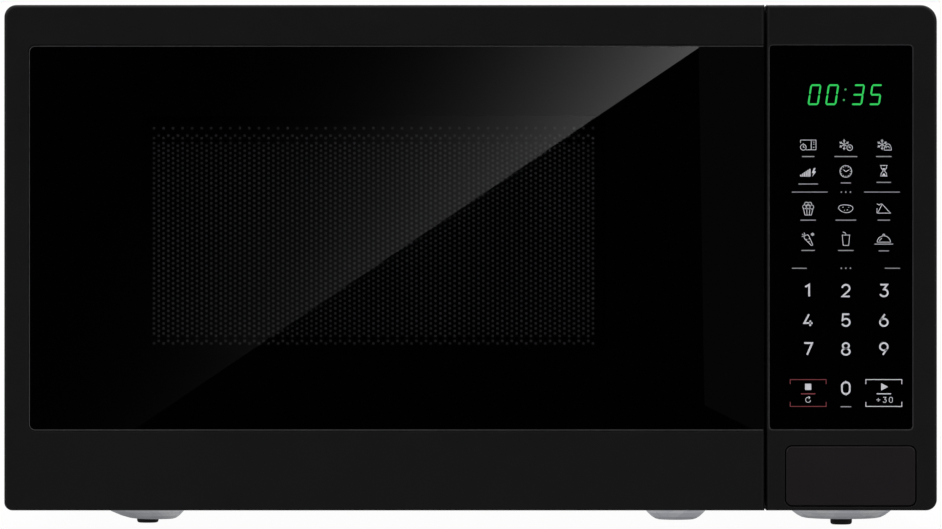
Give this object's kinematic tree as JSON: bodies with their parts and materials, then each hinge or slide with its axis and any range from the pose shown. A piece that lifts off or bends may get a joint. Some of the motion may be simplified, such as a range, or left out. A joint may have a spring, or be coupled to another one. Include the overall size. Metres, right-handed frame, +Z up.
{
  "type": "microwave oven",
  "caption": "Countertop microwave oven: left-hinged dark glass door with a mesh window, key panel with a time display and a door button, round glass turntable.",
  "frame": {"origin": "centre of the footprint, on the surface that the feet stand on", "axes": "+X to the right as seen from the door side, -Y out of the door, +Z up"},
  "size_m": [0.452, 0.35, 0.255],
  "materials": {
    "satin_black_plastic": "satin",
    "cabinet_paint": "fine satin powder coat",
    "galvanised_steel": "zinc coated",
    "cavity_enamel": "speckled light grey",
    "foot_rubber": "matt",
    "gland_rubber": "matt",
    "screw_steel": "zinc coated",
    "bright_steel": "zinc coated",
    "hinge_steel": "pressed",
    "motor_steel": "pressed",
    "spring_steel": "drawn wire",
    "mica": "flaky satin",
    "lamp_glass": "clear",
    "white_plastic": "satin",
    "switch_plastic": "satin",
    "red_plastic": "satin",
    "copper": "enamelled wire and bare copper",
    "fin_aluminium": "rolled",
    "can_aluminium": "drawn can",
    "core_steel": "varnished laminations",
    "grey_plastic": "satin",
    "lens_plastic": "gloss",
    "circuit_board": "solder mask",
    "display_black": "dark filter with green segments",
    "relay_blue": "satin",
    "door_glass": "dark tinted, printed border",
    "screen_enamel": "satin",
    "inner_film": "clear",
    "choke_plastic": "satin",
    "hook_plastic": "satin",
    "clear_plastic": "satin",
    "tray_glass": "clear, heat resistant",
    "ring_plastic": "satin"
  },
  "bodies": {
    "cabinet": {"cabinet_shell": "cabinet_paint", "base_plate": "galvanised_steel", "rear_panel": "galvanised_steel", "front_plate": "cavity_enamel", "feet": "foot_rubber", "cabinet_screws": "screw_steel", "cord_gland": "gland_rubber", "cavity_liner": "cavity_enamel", "waveguide": "bright_steel", "waveguide_cover": "mica", "cavity_lamp": "lamp_glass", "lamp_holder": "white_plastic", "thermal_cutout": "white_plastic", "turntable_motor": "motor_steel", "upper_hinge": "hinge_steel", "lower_hinge": "hinge_steel", "latch_board": "white_plastic", "primary_switch": "switch_plastic", "secondary_switch": "switch_plastic", "monitor_switch": "switch_plastic", "button_spring": "spring_steel", "magnetron_yoke": "bright_steel", "magnetron_tube": "copper", "magnetron_fins": "fin_aluminium", "magnetron_filter_box": "bright_steel", "transformer_core": "core_steel", "transformer_windings": "copper", "hv_capacitor": "can_aluminium", "capacitor_clamp": "bright_steel", "hv_diode": "switch_plastic", "fan_bracket": "grey_plastic", "fan_motor": "core_steel", "air_duct": "grey_plastic", "control_bezel": "satin_black_plastic", "control_lens": "lens_plastic", "control_board": "circuit_board", "led_display": "display_black", "control_relays": "relay_blue", "board_transformer": "core_steel", "filter_board": "circuit_board"},
    "door": {"door_frame": "satin_black_plastic", "door_glass": "door_glass", "door_screen": "screen_enamel", "inner_window": "inner_film", "choke_cover": "choke_plastic", "hook_spring": "spring_steel"},
    "hook": {"door_hook": "hook_plastic"},
    "button": {"door_button": "satin_black_plastic"},
    "lever": {"release_lever": "hook_plastic"},
    "primary_plunger": {"primary_plunger": "red_plastic"},
    "secondary_plunger": {"secondary_plunger": "red_plastic"},
    "monitor_plunger": {"monitor_plunger": "red_plastic"},
    "coupler": {"turntable_coupler": "clear_plastic"},
    "tray": {"glass_tray": "tray_glass"},
    "ring": {"roller_ring": "ring_plastic"},
    "roller_1": {"roller_1": "ring_plastic"},
    "roller_2": {"roller_2": "ring_plastic"},
    "roller_3": {"roller_3": "ring_plastic"},
    "fan": {"fan_blade": "grey_plastic"}
  },
  "joints": [
    {"name": "door_hinge", "type": "hinge", "parent": "cabinet", "child": "door", "pos_m": [-0.219, -0.1505, 0.1325], "axis": [0, 0, -1], "range_deg": [0, 100]},
    {"name": "hook_slide", "type": "slide", "parent": "door", "child": "hook", "axis": [0, 0, 1], "range_m": [0, 0.0024], "deforming": ["hook_spring"]},
    {"name": "button_press", "type": "slide", "parent": "cabinet", "child": "button", "axis": [0, 1, 0], "range_m": [0, 0.005], "stiffness_N_per_m": 400, "springref_m": -0.002, "deforming": ["button_spring"]},
    {"name": "lever_turn", "type": "hinge", "parent": "cabinet", "child": "lever", "pos_m": [0.142, -0.1335, 0.046], "axis": [1, 0, 0], "range_deg": [0, 15]},
    {"name": "turntable_spin", "type": "hinge", "parent": "cabinet", "child": "coupler", "pos_m": [-0.047, 0.0073, 0.0458], "axis": [0, 0, 1], "continuous": true},
    {"name": "tray_lift", "type": "slide", "parent": "coupler", "child": "tray", "axis": [0, 0, 1], "range_m": [0, 0.03]},
    {"name": "ring_spin", "type": "hinge", "parent": "cabinet", "child": "ring", "pos_m": [-0.047, 0.0073, 0.0458], "axis": [0, 0, 1], "continuous": true},
    {"name": "fan_spin", "type": "hinge", "parent": "cabinet", "child": "fan", "pos_m": [0.1665, 0.13, 0.1875], "axis": [0, 1, 0], "continuous": true},
    {"name": "roller_1_spin", "type": "hinge", "parent": "ring", "child": "roller_1", "pos_m": [0.0478, 0.0073, 0.0458], "axis": [1, 0, 0], "continuous": true},
    {"name": "roller_2_spin", "type": "hinge", "parent": "ring", "child": "roller_2", "pos_m": [-0.0944, 0.0894, 0.0458], "axis": [-0.5, 0.866, 0], "continuous": true},
    {"name": "roller_3_spin", "type": "hinge", "parent": "ring", "child": "roller_3", "pos_m": [-0.0944, -0.0748, 0.0458], "axis": [-0.5, -0.866, 0], "continuous": true},
    {"name": "primary_plunger_slide", "type": "slide", "parent": "cabinet", "child": "primary_plunger", "axis": [0, 1, 0], "range_m": [0, 0.001], "stiffness_N_per_m": 150},
    {"name": "secondary_plunger_slide", "type": "slide", "parent": "cabinet", "child": "secondary_plunger", "axis": [0, 1, 0], "range_m": [0, 0.001], "stiffness_N_per_m": 150},
    {"name": "monitor_plunger_slide", "type": "slide", "parent": "cabinet", "child": "monitor_plunger", "axis": [0, 1, 0], "range_m": [0, 0.001], "stiffness_N_per_m": 150}
  ],
  "couplings": [
    {"joint": "hook_slide", "follows": "button_press", "ratio": 0.48},
    {"joint": "lever_turn", "follows": "button_press", "rad_per_m": 52.36},
    {"joint": "ring_spin", "follows": "turntable_spin", "ratio": 0.5},
    {"joint": "roller_1_spin", "follows": "turntable_spin", "ratio": -5.5765},
    {"joint": "roller_2_spin", "follows": "turntable_spin", "ratio": -5.5765},
    {"joint": "roller_3_spin", "follows": "turntable_spin", "ratio": -5.5765}
  ]
}
